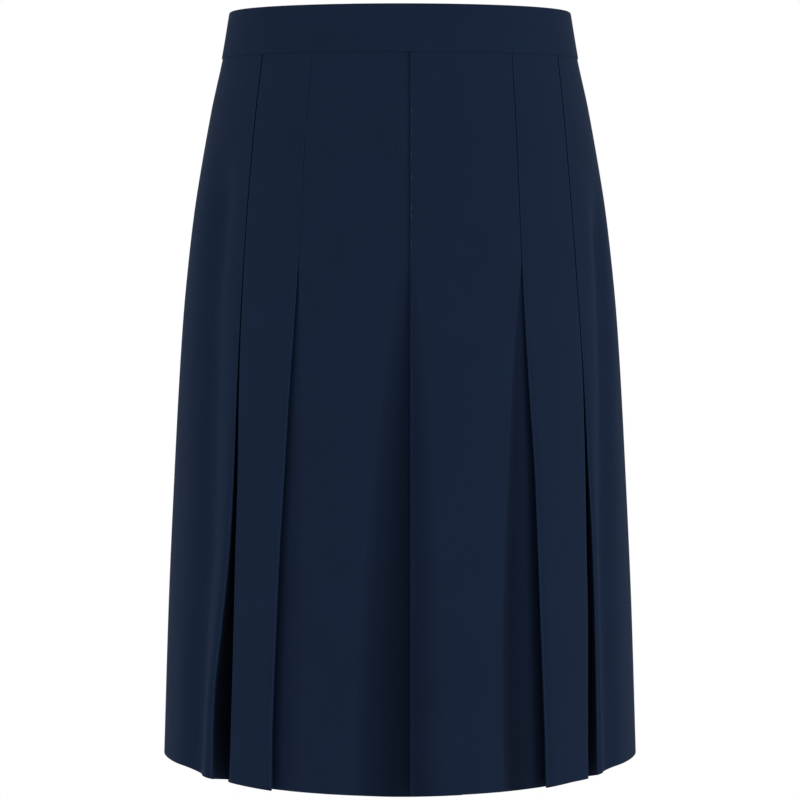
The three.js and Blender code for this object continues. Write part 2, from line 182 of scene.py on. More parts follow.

# Each pleat's depth is given at the waist and at the hem, and the rest at the hem: how wide
# the hollow beside its edge is, how much of that is its floor, how far the cloth below stands
# away, and how wide and how far the folded edge rolls inwards. Then the hollow's width where
# the pleat is sewn down, how much painted shade darkens the edge, the hollow and its floor,
# and how strong the painted highlight on the fold's bend is. An outer pleat has a strip
# inside it in place of a hollow.
PLEATS = table(
    "depth_top depth_hem hollow floor open roll drop step edge_tone tone floor_tone worn",
    {
        "centre": (24, 38, 50, 14, 9, 30, 3, 10, 1, 1, 0.8, 0.4),
        "inner_left": (15, 18, 46, 28, 7, 8, 1.5, 1, 0.1, 1.3, 0.9, 1),
        "inner_right": (15, 18, 36, 6, 4, 6, 1, 0.5, 0.05, 0.4, 0.2, 1),
        "inner_back": (15, 18, 36, 12, 10, 8, 1.5, 0.7, 0.15, 0.7, 0.5, 0.8),
        "outer": (15, 19, 0, 0, 22, 5, 2, 0, 0.1, 0.6, 0, 1),
    },
)


def crease(facing, half_width, lift, rows):
    """A soft ridge, or a trough where the lift is negative. Its rows are
    heights and distances across from the middle."""
    heights, across = zip(*rows)
    return {
        "back": facing == "back",
        "half_width": half_width,
        "lift": lift,
        "down": [-z for z in heights],
        "across": across,
    }


CREASES = [
    crease("front", 15, -8.5, [(-90, -146), (-158, -154), (-227, -160), (-364, -163.5),
                               (-432, -165), (-500, -171), (-569, -174), (-631, -178)]),
    crease("front", 12, -7.0, [(-120, 166), (-200, 173), (-295, 176), (-440, 176), (-631, 180)]),
    crease("front", 30, -1.6, [(-60, 8), (-194, 9), (-400, 9), (-631, 9)]),
    crease("front", 22, 1.0, [(-250, 56), (-400, 62), (-631, 66)]),
    crease("front", 20, 0.9, [(-250, -52), (-400, -58), (-631, -64)]),
    crease("back", 18, 1.5, [(-120, 40), (-250, 44), (-400, 50), (-631, 55)]),
    crease("back", 20, 1.3, [(-160, -36), (-280, -42), (-450, -52), (-631, -60)]),
    crease("back", 15, -4.0, [(-150, 158), (-260, 165), (-420, 168), (-631, 176)]),
    crease("back", 14, -4.0, [(-120, -155), (-250, -166), (-430, -168), (-631, -176)]),
]
CREASE_FADE = 60.0  # a crease grows in over this height


def smooth(rows, key, z):
    """A column's value at height z, on a monotone cubic through the table's rows."""
    x = -rows["z"]
    y = rows[key]
    step = np.diff(x)
    slope = np.diff(y) / step
    tangent = np.zeros(len(x))
    tangent[0] = slope[0]
    tangent[-1] = slope[-1]
    for i in range(1, len(x) - 1):
        if slope[i - 1] * slope[i] > 0:
            first = 2 * step[i] + step[i - 1]
            second = step[i] + 2 * step[i - 1]
            tangent[i] = (first + second) / (first / slope[i - 1] + second / slope[i])
    place = min(max(-z, x[0]), x[-1])
    i = min(int(np.searchsorted(x, place, side="right")) - 1, len(x) - 2)
    t = (place - x[i]) / step[i]
    return (
        y[i] * (1 + 2 * t) * (1 - t) ** 2
        + tangent[i] * step[i] * t * (1 - t) ** 2
        + y[i + 1] * t * t * (3 - 2 * t)
        + tangent[i + 1] * step[i] * t * t * (t - 1)
    )


class Girth:
    """The outline at one height. A place on it is its arc length from the middle of the
    front, negative on the right side. Both ends meet at the centre back."""

    STEPS = 1440

    def __init__(self, z):
        self.z = z
        self.half_width = smooth(LEVELS, "half_width", z)
        turn = np.linspace(-math.pi, math.pi, self.STEPS + 1)
        facing = np.cos(turn)
        depth = np.where(facing > 0, -smooth(LEVELS, "front", z), smooth(LEVELS, "back", z))
        self.x = self.half_width * np.sin(turn)
        self.y = depth * np.abs(facing) ** smooth(LEVELS, "sides", z)
        lengths = np.concatenate([[0], np.cumsum(np.hypot(np.diff(self.x), np.diff(self.y)))])
        self.half = lengths[self.STEPS // 2]
        self.arc = lengths - self.half
        self.side = self.arc[3 * self.STEPS // 4]
        along = np.gradient(self.x), np.gradient(self.y)
        size = np.hypot(*along)
        self.along = along[0] / size, along[1] / size
        self.creases = [each for each in CREASES if self.crease_size(each)]

    def reach(self, across, from_back=False):
        """Arc length from the middle of the front or back to a point across from it."""
        turn = math.asin(across / self.half_width)
        index = (turn / math.pi + 1) * self.STEPS / 2
        if from_back:
            index = 1.5 * self.STEPS - index
        length = np.interp(index, np.arange(self.STEPS + 1), self.arc)
        return self.half - length if from_back else length

    def crease_size(self, each):
        share = (-self.z - each["down"][0]) / CREASE_FADE
        return each["lift"] * min(max(share, 0), 1)

    def lift(self, arc):
        """How far the soft ridges and troughs move the cloth outwards at places."""
        total = np.zeros_like(arc)
        for each in self.creases:
            across = np.interp(-self.z, each["down"], each["across"])
            place = math.copysign(self.reach(abs(across), each["back"]), across)
            if each["back"]:
                place = math.copysign(self.half, across) - place
            distance = (arc - place) / each["half_width"]
            total += self.crease_size(each) * np.exp(-(distance**2))
        return total

    def points(self, arc, depth):
        """Points at places on the outline, moved inwards by depths."""
        arc = np.asarray(arc, float)
        inwards = np.asarray(depth, float) - self.lift(arc)
        x = np.interp(arc, self.arc, self.x)
        y = np.interp(arc, self.arc, self.y)
        along_x = np.interp(arc, self.arc, self.along[0])
        along_y = np.interp(arc, self.arc, self.along[1])
        size = np.hypot(along_x, along_y)
        return np.column_stack([x - along_y / size * inwards, y + along_x / size * inwards])


girths = {}


def girth(z):
    if z not in girths:
        girths[z] = Girth(z)
    return girths[z]


def beside(line, distance):
    """A line of points moved sideways, with its corners kept square to it."""
    way = np.diff(line, axis=0)
    way /= np.linalg.norm(way, axis=1)[:, None]
    normal = np.column_stack([way[:, 1], -way[:, 0]])
    before = np.vstack([normal[:1], normal])
    after = np.vstack([normal, normal[-1:]])
    middle = before + after
    middle /= np.linalg.norm(middle, axis=1)[:, None]
    return line + middle * (distance / np.sum(middle * before, axis=1))[:, None]


SHARP_ANGLE = 50  # degrees


def wall_mesh(name, sections):
    """A closed wall through sections: heights, a line, a thickness and a share of painted shade
    each.
    """
    rows = len(sections)
    columns = len(sections[0][1])
    points = np.zeros((rows, 2, columns, 3))
    grain = np.zeros((rows, 2, columns, 3))
    # Each point's share of painted shade.
    tone = np.zeros((rows, 2, columns))
    for i, (z, line, thick, painted_shade) in enumerate(sections):
        tone[i] = painted_shade
        steps = np.linalg.norm(np.diff(line, axis=0), axis=1)
        along = np.concatenate([[0], np.cumsum(steps)])
        for k, side in enumerate((0.5, -0.5)):
            points[i, k, :, :2] = beside(line, side * thick)
            points[i, k, :, 2] = z
            grain[i, k, :, 0] = along - along[-1] / 2
            grain[i, k, :, 1] = z
    index = np.arange(rows * 2 * columns).reshape(rows, 2, columns)
    outer = index[:, 0]
    inner = index[:, 1]

    def quads(a, b, c, d):
        return np.stack([a.ravel(), b.ravel(), c.ravel(), d.ravel()], axis=1)

    faces = np.vstack(
        [
            quads(outer[:-1, :-1], outer[1:, :-1], outer[1:, 1:], outer[:-1, 1:]),
            quads(inner[:-1, :-1], inner[:-1, 1:], inner[1:, 1:], inner[1:, :-1]),
            quads(outer[:-1, 0], inner[:-1, 0], inner[1:, 0], outer[1:, 0]),
            quads(outer[:-1, -1], outer[1:, -1], inner[1:, -1], inner[:-1, -1]),
            quads(outer[0, :-1], outer[0, 1:], inner[0, 1:], inner[0, :-1]),
            quads(outer[-1, :-1], inner[-1, :-1], inner[-1, 1:], outer[-1, 1:]),
        ]
    )
    flat_points = points.reshape(-1, 3) * MM
    corner = flat_points[faces]
    volume = np.einsum("ij,ij->", corner[:, 0], np.cross(corner[:, 1], corner[:, 2]))
    volume += np.einsum("ij,ij->", corner[:, 0], np.cross(corner[:, 2], corner[:, 3]))
    if volume < 0:
        faces = faces[:, ::-1]
    mesh = bpy.data.meshes.new(name)
    mesh.from_pydata(flat_points.tolist(), [], faces.tolist())
    attribute = mesh.attributes.new("grain", "FLOAT_VECTOR", "POINT")
    attribute.data.foreach_set("vector", (grain.reshape(-1, 3) * MM).ravel().astype(np.float32))
    attribute = mesh.attributes.new("painted_shade", "FLOAT", "POINT")
    attribute.data.foreach_set("value", tone.ravel().astype(np.float32))
    mesh.polygons.foreach_set("use_smooth", [True] * len(mesh.polygons))
    mesh.set_sharp_from_angle(angle=math.radians(SHARP_ANGLE))
    mesh.update()
    return mesh


def add(name, mesh, material, body=BODY):
    piece = bpy.data.objects.new(name, mesh)
    bpy.context.scene.collection.objects.link(piece)
    mesh.materials.append(material)
    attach(piece, body)
    return piece


# Colours, as linear values
NAVY = (0.0080, 0.0166, 0.0400, 1)
NAVY_DARK = (0.0073, 0.0153, 0.0372, 1)
NAVY_LIGHT = (0.0087, 0.0179, 0.0428, 1)
PAINTED_SHADE_STRENGTH = 0.38  # how much a share of painted shade darkens the cloth; a negative share paints it paler as a highlight
THREAD = (0.0115, 0.0220, 0.0490, 1)
TAPE = (0.0090, 0.0140, 0.0280, 1)
TAPE_DARK = (0.0070, 0.0115, 0.0240, 1)
ENAMEL = (0.0110, 0.0170, 0.0330, 1)
ENAMEL_WORN = (0.0160, 0.0230, 0.0420, 1)
SHEEN_TINT = (0.35, 0.48, 0.75, 1)

# Weave: threads in millimetres, how fine each noise is, and each bump's height in metres
CLOTH_THREAD = 0.42
TAPE_THREAD = 0.6
YARN_NOISE = 900
YARN_STRETCH = 0.04  # the tone changes this much more slowly along a yarn than across it
PATCH_NOISE = 14
CREPE_NOISE = 420
WEAVE_TONE = 0.04  # how much the threads' crossings change the tone
WEAVE_BUMP = 0.00012
CREPE_BUMP = 0.0003
SHEEN = 0.03
TWIST_NOISE = 2500
WEAR_NOISE = 900
FINE_BUMP = 0.0001


class Nodes:
    """A material's node tree with short calls for the nodes it is made of."""

    def __init__(self, name):
        self.material = bpy.data.materials.new(name)
        self.material.use_nodes = True
        self.tree = self.material.node_tree
        self.shader = self.tree.nodes["Principled BSDF"]

    def add(self, kind, **values):
        node = self.tree.nodes.new(kind)
        for key, value in values.items():
            setattr(node, key, value)
        return node

    def link(self, source, target):
        self.tree.links.new(source, target)

    def math(self, operation, *inputs):
        node = self.add("ShaderNodeMath", operation=operation)
        for socket, value in zip(node.inputs, inputs):
            if isinstance(value, (int, float)):
                socket.default_value = value
            else:
                self.link(value, socket)
        return node.outputs[0]

    def noise(self, vector, scale, detail=2.0, roughness=0.5):
        node = self.add("ShaderNodeTexNoise")
        node.inputs["Scale"].default_value = scale
        node.inputs["Detail"].default_value = detail
        node.inputs["Roughness"].default_value = roughness
        self.link(vector, node.inputs["Vector"])
        return node.outputs["Fac"]

    def ramp(self, factor, stops):
        node = self.add("ShaderNodeValToRGB")
        elements = node.color_ramp.elements
        elements[0].position, elements[0].color = stops[0]
        elements[1].position, elements[1].color = stops[-1]
        for position, color in stops[1:-1]:
            elements.new(position).color = color
        self.link(factor, node.inputs["Fac"])
        return node.outputs["Color"]

    def bump(self, height, strength, distance, normal=None):
        node = self.add("ShaderNodeBump")
        node.inputs["Strength"].default_value = strength
        node.inputs["Distance"].default_value = distance
        self.link(height, node.inputs["Height"])
        if normal is not None:
            self.link(normal, node.inputs["Normal"])
        return node.outputs["Normal"]


def cloth_material(name, light, middle, dark, thread_pitch):
    """Plain-woven cloth. Its threads follow the grain that each piece's points carry."""
    nodes = Nodes(name)
    grain = nodes.add("ShaderNodeAttribute", attribute_name="grain").outputs["Vector"]
    split = nodes.add("ShaderNodeSeparateXYZ")
    nodes.link(grain, split.inputs[0])
    turns = math.pi / (thread_pitch * MM)
    warp = nodes.math("SINE", nodes.math("MULTIPLY", split.outputs["X"], turns))
    weft = nodes.math("SINE", nodes.math("MULTIPLY", split.outputs["Y"], turns))
    weave = nodes.math("MULTIPLY", warp, weft)
    # Yarns differ a little in tone along the warp, and the cloth in broad soft patches.
    stretched = nodes.add("ShaderNodeVectorMath", operation="MULTIPLY")
    stretched.inputs[1].default_value = (1, YARN_STRETCH, 1)
    nodes.link(grain, stretched.inputs[0])
    yarn = nodes.noise(stretched.outputs[0], YARN_NOISE, detail=1)
    patch = nodes.noise(grain, PATCH_NOISE, detail=3)
    tone = nodes.math("ADD", nodes.math("MULTIPLY", yarn, 0.5), nodes.math("MULTIPLY", patch, 0.5))
    tone = nodes.math("ADD", tone, nodes.math("MULTIPLY", weave, WEAVE_TONE))
    color = nodes.ramp(tone, [(0.3, dark), (0.5, middle), (0.7, light)])
    # Painted shade: each point's share darkens the colour where a pleat's hollow and a folded edge
    # are in shade, and a negative share paints a highlight on a fold's bend.
    painted_shade = nodes.add("ShaderNodeAttribute", attribute_name="painted_shade").outputs["Fac"]
    deeper = nodes.add("ShaderNodeVectorMath", operation="SCALE")
    nodes.link(color, deeper.inputs[0])
    painted_darkening = nodes.math("MULTIPLY", painted_shade, PAINTED_SHADE_STRENGTH)
    nodes.link(nodes.math("SUBTRACT", 1, painted_darkening), deeper.inputs["Scale"])
    nodes.link(deeper.outputs[0], nodes.shader.inputs["Base Color"])
    rough = nodes.math("ADD", nodes.math("MULTIPLY", patch, 0.12), 0.74)
    nodes.link(rough, nodes.shader.inputs["Roughness"])
    fine = nodes.bump(weave, 0.35, WEAVE_BUMP)
    crepe = nodes.noise(grain, CREPE_NOISE, detail=2)
    nodes.link(nodes.bump(crepe, 0.25, CREPE_BUMP, fine), nodes.shader.inputs["Normal"])
    nodes.shader.inputs["Specular IOR Level"].default_value = 0.04
    nodes.shader.inputs["Sheen Weight"].default_value = SHEEN
    nodes.shader.inputs["Sheen Roughness"].default_value = 0.45
    nodes.shader.inputs["Sheen Tint"].default_value = SHEEN_TINT
    return nodes.material


def thread_material():
    """Twisted sewing thread, with a fine roughness along it."""
    nodes = Nodes("navy_thread")
    place = nodes.add("ShaderNodeTexCoord").outputs["Object"]
    twist = nodes.noise(place, TWIST_NOISE, detail=1)
    color = nodes.ramp(twist, [(0.3, TAPE), (0.7, THREAD)])
    nodes.link(color, nodes.shader.inputs["Base Color"])
    rough = nodes.math("ADD", nodes.math("MULTIPLY", twist, 0.2), 0.5)
    nodes.link(rough, nodes.shader.inputs["Roughness"])
    nodes.link(nodes.bump(twist, 0.3, FINE_BUMP), nodes.shader.inputs["Normal"])
    return nodes.material


def enamel_material():
    """Satin enamel on metal, rubbed a little paler in places."""
    nodes = Nodes("navy_enamel")
    place = nodes.add("ShaderNodeTexCoord").outputs["Object"]
    wear = nodes.noise(place, WEAR_NOISE, detail=3)
    color = nodes.ramp(wear, [(0.35, ENAMEL), (0.75, ENAMEL_WORN)])
    nodes.link(color, nodes.shader.inputs["Base Color"])
    rough = nodes.math("ADD", nodes.math("MULTIPLY", wear, 0.2), 0.35)
    nodes.link(rough, nodes.shader.inputs["Roughness"])
    nodes.link(nodes.bump(wear, 0.1, FINE_BUMP), nodes.shader.inputs["Normal"])
    nodes.shader.inputs["Specular IOR Level"].default_value = 0.2
    return nodes.material


cloth = cloth_material("navy_cloth", NAVY_LIGHT, NAVY, NAVY_DARK, CLOTH_THREAD)
band_cloth = cloth_material("navy_band_cloth", NAVY_LIGHT, NAVY, NAVY_DARK, CLOTH_THREAD)
tape_cloth = cloth_material("navy_zip_tape", TAPE, TAPE, TAPE_DARK, TAPE_THREAD)
thread = thread_material()
enamel = enamel_material()

# Camera, at the photograph's height and distance
CAMERA_DISTANCE = 2139.3
CAMERA_Z = -159.3
CAMERA_PITCH = 4.202  # degrees down
FRAME_PIXELS = 800
FOCAL_PIXELS = 2450
SENSOR = 36.0
camera_data = bpy.data.cameras.new("camera")
camera_data.sensor_width = SENSOR
camera_data.lens = SENSOR * FOCAL_PIXELS / FRAME_PIXELS
camera = bpy.data.objects.new("camera", camera_data)
camera.location = (0, -CAMERA_DISTANCE * MM, CAMERA_Z * MM)
camera.rotation_euler = (math.radians(90 - CAMERA_PITCH), 0, 0)
bpy.context.scene.collection.objects.link(camera)
bpy.context.scene.camera = camera


# Folds and panels

def thickness(z):
    return HEM_THICK if z < HEM + HEM_TURN else CLOTH


def cloth_depth(z):
    share = min(max((z - SET_IN_END) / (BAND_BOTTOM - SET_IN_END), 0), 1)
    return SET_IN * share + CLOTH / 2


def mix(start, end, share):
    return start + (end - start) * share


def parted(z):
    """How far the pleats have come apart at a height, from 0 at the stitches to 1."""
    loose = max(0, (STITCHED - z) / (STITCHED - HEM))
    return 1 - (1 - loose) ** PARTING


def pleat_at(pleat, z):
    """A pleat's sizes at a height. It is flush where it is sewn down, and parts below that."""
    share = (BAND_BOTTOM - z) / (BAND_BOTTOM - HEM)
    apart = parted(z)
    layer = mix(SEWN_LAYER, LAYER, apart)
    back = layer + (pleat["open"] + pleat["drop"]) * apart
    return {
        "layer": layer,
        "depth": mix(pleat["depth_top"], pleat["depth_hem"], share),
        "hollow": mix(pleat["step"], pleat["hollow"], apart),
        "floor": pleat["floor"] * apart,
        "roll": mix(EDGE_ROLL, pleat["roll"], apart),
        "drop": pleat["drop"] * apart,
        "back": back,
        "low": back + mix(SEWN_UNDERLAY, UNDERLAY, apart),
        "seam": back + mix(SEWN_SEAM_LAYER, SEAM_LAYER, apart),
        # Painted shade beside the edge, in the hollow and on its floor grows in as the pleat
        # parts.
        "edge_tone": pleat["edge_tone"] * math.sqrt(apart),
        "tone": pleat["tone"] * math.sqrt(apart),
        "floor_tone": pleat["floor_tone"] * math.sqrt(apart),
    }


# A line's points are a place along the outline, a depth under the surface and a share of
# painted shade: cloth in a pleat's hollow and beside its folded edge is painted darker where
# shade falls, and a negative share on a fold's bend is a painted highlight.

def line_of(places, depths, painted_lighting):
    places = np.atleast_1d(places)
    depths = np.broadcast_to(depths, places.shape)
    return np.column_stack([places, depths, np.broadcast_to(painted_lighting, places.shape)])


def soft_step(share, start, end):
    """0 up to start and 1 from end on, with a soft slope between them."""
    share = np.clip((share - start) / (end - start), 0, 1)
    return share**2 * (3 - 2 * share)


def fold(edge, way, pleat, z):
    """A folded edge from the surface, round the fold and back under to the hidden seam."""
    size = pleat_at(pleat, z)
    radius = size["layer"] / 2
    start = edge - way * (radius + thickness(z) / 2)
    share = np.linspace(1, 0, ROLL_POINTS)[:-1]
    depths = size["drop"] * (1 - share) ** 2
    # Painted shade on the roll beside the folded edge, deepest near the edge.
    painted_darkness = size["edge_tone"] * np.exp(-((share * size["roll"] / pleat["roll"] / EDGE_FADE) ** 2))
    roll = line_of(start - way * size["roll"] * share, depths, painted_darkness * (1 - share**4))
    turn = np.linspace(0, math.pi, BEND_POINTS)
    depths = size["drop"] + radius * (1 - np.cos(turn))
    # A painted highlight at the start of the bend, then painted shade deeper round the fold.
    worn = size["edge_tone"] - pleat["worn"] * np.exp(-((turn / math.pi / PAINTED_HIGHLIGHT_SPREAD) ** 2))
    painted_lighting = mix(worn, 1, soft_step(turn / math.pi, BEND_SHADE_FROM, 1))
    bend = line_of(start + way * radius * np.sin(turn), depths, painted_lighting)
    share = np.linspace(0, 1, RETURN_POINTS)[1:]
    places = mix(start, edge - way * size["depth"], share)
    back = line_of(places, mix(size["drop"] + size["layer"], size["back"], share), 1)
    return np.vstack([roll, bend, back])


def allowance(place, way, depth):
    """The last stretch of cloth past a hidden seam, which meets the cloth it is sewn to."""
    share = np.linspace(0, 1, ALLOWANCE_POINTS)[1:]
    return line_of(place + way * SEAM_ALLOWANCE * share, depth, 1)


def under(edge, way, pleat, z):
    """Cloth that runs under a neighbour's folded edge, down in a soft S and on to the seam."""
    size = pleat_at(pleat, z)
    share = np.linspace(0, 1, SLOPE_POINTS)
    places = edge - way * mix(size["hollow"], size["floor"], share)
    depths = size["low"] * (1 - np.cos(math.pi * share)) / 2
    # Painted shade grows in down the slope into the hollow.
    slope = line_of(places, depths, size["tone"] * soft_step(share, 0, SLOPE_SHADE))
    share = np.linspace(0, 1, RETURN_POINTS)[1:]
    seam = edge + way * size["depth"]
    places = mix(edge - way * size["floor"], seam, share)
    depths = np.full(len(share), size["low"])
    depths[-1] = size["seam"]
    # Painted shade changes from the hollow's to its floor's across the floor.
    painted_darkness = mix(size["tone"], size["floor_tone"], soft_step(share, 0, FLOOR_SHADE))
    rest = line_of(places, depths, painted_darkness)
    return np.vstack([slope, rest, allowance(seam, way, size["seam"])])


def flat(start, end, count):
    """The plain stretch between two others, without their end points."""
    return line_of(np.linspace(start, end, count + 2)[1:-1], 0, 0)


def plain_seam(place, way, z):
    """The last stretch up to a plain seam, where the cloth turns in and is pressed open."""
    radius = pleat_at(PLEATS["outer"], z)["layer"] / 2
    start = place - way * (radius + thickness(z) / 2)
    turn = np.linspace(0, math.pi, SEAM_BEND_POINTS)
    bend = line_of(start + way * radius * np.sin(turn), radius * (1 - np.cos(turn)), 0)
    share = np.linspace(0, 1, PRESSED_POINTS)[1:]
    back = line_of(start - way * SEAM_ALLOWANCE * share, 2 * radius, 0)
    return np.vstack([bend, back])


def heights_between(top, bottom):
    return np.linspace(top, bottom, round((top - bottom) / ROW_STEP) + 1)


INTO_BAND = 1.5  # the panels' upper edges run up into the band
sewn_heights = heights_between(PANEL_TOP + INTO_BAND, STITCHED)
loose_heights = heights_between(STITCHED, HEM)
PANEL_HEIGHTS = np.concatenate([sewn_heights, loose_heights[1:]])


def hem_shift(z, points, depth, hang):
    """How far the points of a row at height z move up or down. Cloth that lies deeper in a
    pleat hangs lower, and the hem lifts at both sides."""
    inside = -hang * parted(z) * depth
    side = SIDE_LIFT * soft_step(np.abs(points[:, 0]), SIDE_LIFT_FROM, SIDE_LIFT_FULL)
    return inside + side * max(0, (SIDE_LIFT_TOP - z) / (SIDE_LIFT_TOP - HEM))


FLARE_WIDTH = 20.0  # of the stretch beside a side panel's edge that stands out


class Quarter:
    """A quarter of the skirt. Places are arc lengths from the middle of the front or back."""

    def __init__(self, facing, side, folds, inner, flare):
        self.facing = facing
        self.side = side
        self.way = 1 if side == "left" else -1
        self.from_back = facing == "back"
        self.folds = folds
        self.inner = PLEATS[inner]
        self.flare = flare  # how far the side panel's folded edge stands out at the hem

    def edge(self, key, z):
        return girth(z).reach(smooth(self.folds, key, z), self.from_back)

    def mid_edge(self, z):
        return self.edge("mid", z) - mix(SEWN_GAP, SEAM_GAP, parted(z)) / 2

    def side_edge(self, z):
        return self.edge("side", z) + mix(SEWN_GAP, SEAM_GAP, parted(z)) / 2

    def seam(self, z):
        g = girth(z)
        return (g.half - g.side if self.from_back else g.side) - SEAM_GAP / 2

    def panel(self, piece, path, hang=HANG):
        sections = []
        for z in PANEL_HEIGHTS:
            g = girth(z)
            line = path(z)
            place = g.half - line[:, 0] if self.from_back else line[:, 0]
            middle = cloth_depth(z) + (thickness(z) - CLOTH) / 2
            points = g.points(self.way * place, middle + line[:, 1])
            heights = z + hem_shift(z, points, line[:, 1] - g.lift(self.way * place), hang)
            sections.append((heights, points, thickness(z), line[:, 2]))
        name = f"{self.facing}_{piece}_{self.side}"
        made = add(f"{name}_cloth", wall_mesh(name, sections), cloth)
        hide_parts(name)
        return made

    def side_panel(self):
        def path(z):
            edge = fold(self.side_edge(z), -1, PLEATS["outer"], z)[::-1]
            end = plain_seam(self.seam(z), 1, z)
            line = np.vstack([edge, flat(edge[-1, 0], end[0, 0], WIDE_FLAT_POINTS), end])
            near = np.exp(-(((line[:, 0] - self.side_edge(z)) / FLARE_WIDTH) ** 2))
            inside = np.clip(line[:, 1] / pleat_at(PLEATS["outer"], z)["back"], 0, 1)
            line[:, 1] -= self.flare * parted(z) ** 2 * near * (1 - inside)
            return line

        return self.panel("side", path)

    def mid_panel(self):
        def path(z):
            first = fold(self.edge("inner", z), -1, self.inner, z)[::-1]
            last = fold(self.mid_edge(z), 1, PLEATS["outer"], z)
            return np.vstack([first, flat(first[-1, 0], last[0, 0], NARROW_FLAT_POINTS), last])

        return self.panel("mid", path)

    def inset(self):
        def path(z):
            size = pleat_at(PLEATS["outer"], z)
            start = self.mid_edge(z) - size["depth"]
            end = self.side_edge(z) + size["depth"]
            places = np.linspace(start, end, INSET_POINTS)
            depths = np.full(INSET_POINTS, size["low"])
            sewn = size["seam"]
            depths[[0, -1]] = sewn
            # The strip inside an outer pleat carries the pleat's painted shade.
            middle = line_of(places, depths, size["tone"])
            return np.vstack([allowance(start, -1, sewn)[::-1], middle, allowance(end, 1, sewn)])

        return self.panel("inset", path, INSET_HANG)

    def centre_panel(self, start):
        def path(z):
            first = start(z)
            last = under(self.edge("inner", z), 1, self.inner, z)
            return np.vstack([first, flat(first[-1, 0], last[0, 0], WIDE_FLAT_POINTS), last])

        return self.panel("centre", path)


front_left = Quarter("front", "left", FRONT_LEFT_FOLDS, "inner_left", 3)
front_right = Quarter("front", "right", FRONT_RIGHT_FOLDS, "inner_right", 7)
back_left = Quarter("back", "left", BACK_FOLDS, "inner_back", 4)
back_right = Quarter("back", "right", BACK_FOLDS, "inner_back", 3)


BAND_STEP = 3.0  # width of a face of the band
BAND_ROWS = 10
BAND_EDGE_ROWS = 5
BAND_EDGE_THICK = 0.5  # the least thickness of its rounded edges
BAND_TUCK = 0.3  # the band dips this far at its ends, where it is seamed
TUCK_WIDTH = 0.7
TUCK_POINTS = 7


def waistband(name, start, end):
    """A flat band with softly rounded edges, as a wall between two places on the outline."""
    half = BAND_THICK / 2
    edge = np.linspace(0, math.pi / 2, BAND_EDGE_ROWS)
    rise = half * (1 - np.cos(edge))
    taper = np.maximum(BAND_THICK * np.sin(edge), BAND_EDGE_THICK)
    upper = [(TOP - r, t) for r, t in zip(rise, taper)]
    heights = np.linspace(TOP - half, BAND_BOTTOM + half, BAND_ROWS)[1:-1]
    lower = [(BAND_BOTTOM + r, t) for r, t in zip(rise, taper)][::-1]
    longest = end(girth(BAND_BOTTOM)) - start(girth(BAND_BOTTOM))
    count = round(longest / BAND_STEP)
    near = np.linspace(0, BAND_STEP, TUCK_POINTS)[:-1]
    sections = []
    for z, thick in upper + [(z, BAND_THICK) for z in heights] + lower:
        g = girth(z)
        middle = np.linspace(start(g), end(g), count)[1:-1]
        places = np.concatenate([start(g) + near, middle, (end(g) - near)[::-1]])
        from_end = np.minimum(places - places[0], places[-1] - places)
        depths = half + BAND_TUCK * np.exp(-((from_end / TUCK_WIDTH) ** 2))
        sections.append((z, g.points(places, depths), thick, 0))
    made = add(f"{name}_cloth", wall_mesh(name, sections), band_cloth)
    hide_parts(name)
    return made


# The waistband and the tapes leave this much room for the slider's neck.
ZIP_GAP = 2.4
waistband("waistband_front", lambda g: SEAM_GAP / 2 - g.side, lambda g: g.side - SEAM_GAP / 2)
waistband("waistband_back_left", lambda g: g.side + SEAM_GAP / 2, lambda g: g.half - ZIP_GAP / 2)
waistband("waistband_back_right", lambda g: ZIP_GAP / 2 - g.half, lambda g: -g.side - SEAM_GAP / 2)

for part in (front_left, front_right, back_left, back_right):
    part.side_panel()
    part.inset()
    part.mid_panel()
front_left.centre_panel(lambda z: fold(CENTRE_FOLD, -1, PLEATS["centre"], z)[::-1])
front_right.centre_panel(lambda z: under(-CENTRE_FOLD, -1, PLEATS["centre"], z)[::-1])
for part in (back_left, back_right):
    part.centre_panel(lambda z: plain_seam(SEAM_GAP / 2, -1, z)[::-1])


# Zip at the centre back: tapes behind the cloth, coils along their edges, slider and pull

TAPE_WIDTH = 11.5
TAPE_THICK = 0.5
TAPE_GAP = 0.35  # between the tapes and what they lie behind
TAPE_POINTS = 9
TAPE_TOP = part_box("zip_tape_left")[1].z / MM
TAPE_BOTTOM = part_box("zip_tape_left")[0].z / MM
COIL_PITCH = 1.5
COIL_RADIUS = 0.85
COIL_WIRE = 0.28
COIL_STEPS = 10  # points for each turn of a coil
COIL_REACH = 0.25  # each coil reaches this far past the middle, between the other's turns
COIL_MIDDLE = 0.02  # but no nearer the middle than this
COIL_WIDER = 1.15  # a coil is pressed a little wider than round
COIL_FLATTER = 0.7
COIL_FROM_END = 2.0  # from the tape's ends


def tape_depth(z):
    """Depth of the tapes' middle: behind the panels below, and behind the band above."""
    share = min(max((z - SET_IN_END) / (PANEL_TOP - SET_IN_END), 0), 1)
    return mix(CLOTH, BAND_THICK, share) + TAPE_GAP + TAPE_THICK / 2


def back_point(z, across, depth):
    """A point near the centre back: across from the middle, and a depth under the surface."""
    g = girth(z)
    place = math.copysign(g.half - abs(across), across)
    x, y = g.points([place], [depth])[0]
    return x * MM, y * MM, z * MM


def zip_tape(name, way):
    sections = []
    for z in heights_between(TAPE_TOP, TAPE_BOTTOM):
        g = girth(z)
        places = way * (g.half - ZIP_GAP / 2 - np.linspace(0, TAPE_WIDTH, TAPE_POINTS))
        depths = np.full(TAPE_POINTS, tape_depth(z))
        sections.append((z, g.points(places, depths), TAPE_THICK, 0))
    made = add(f"{name}_cloth", wall_mesh(name, sections), tape_cloth)
    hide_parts(name)


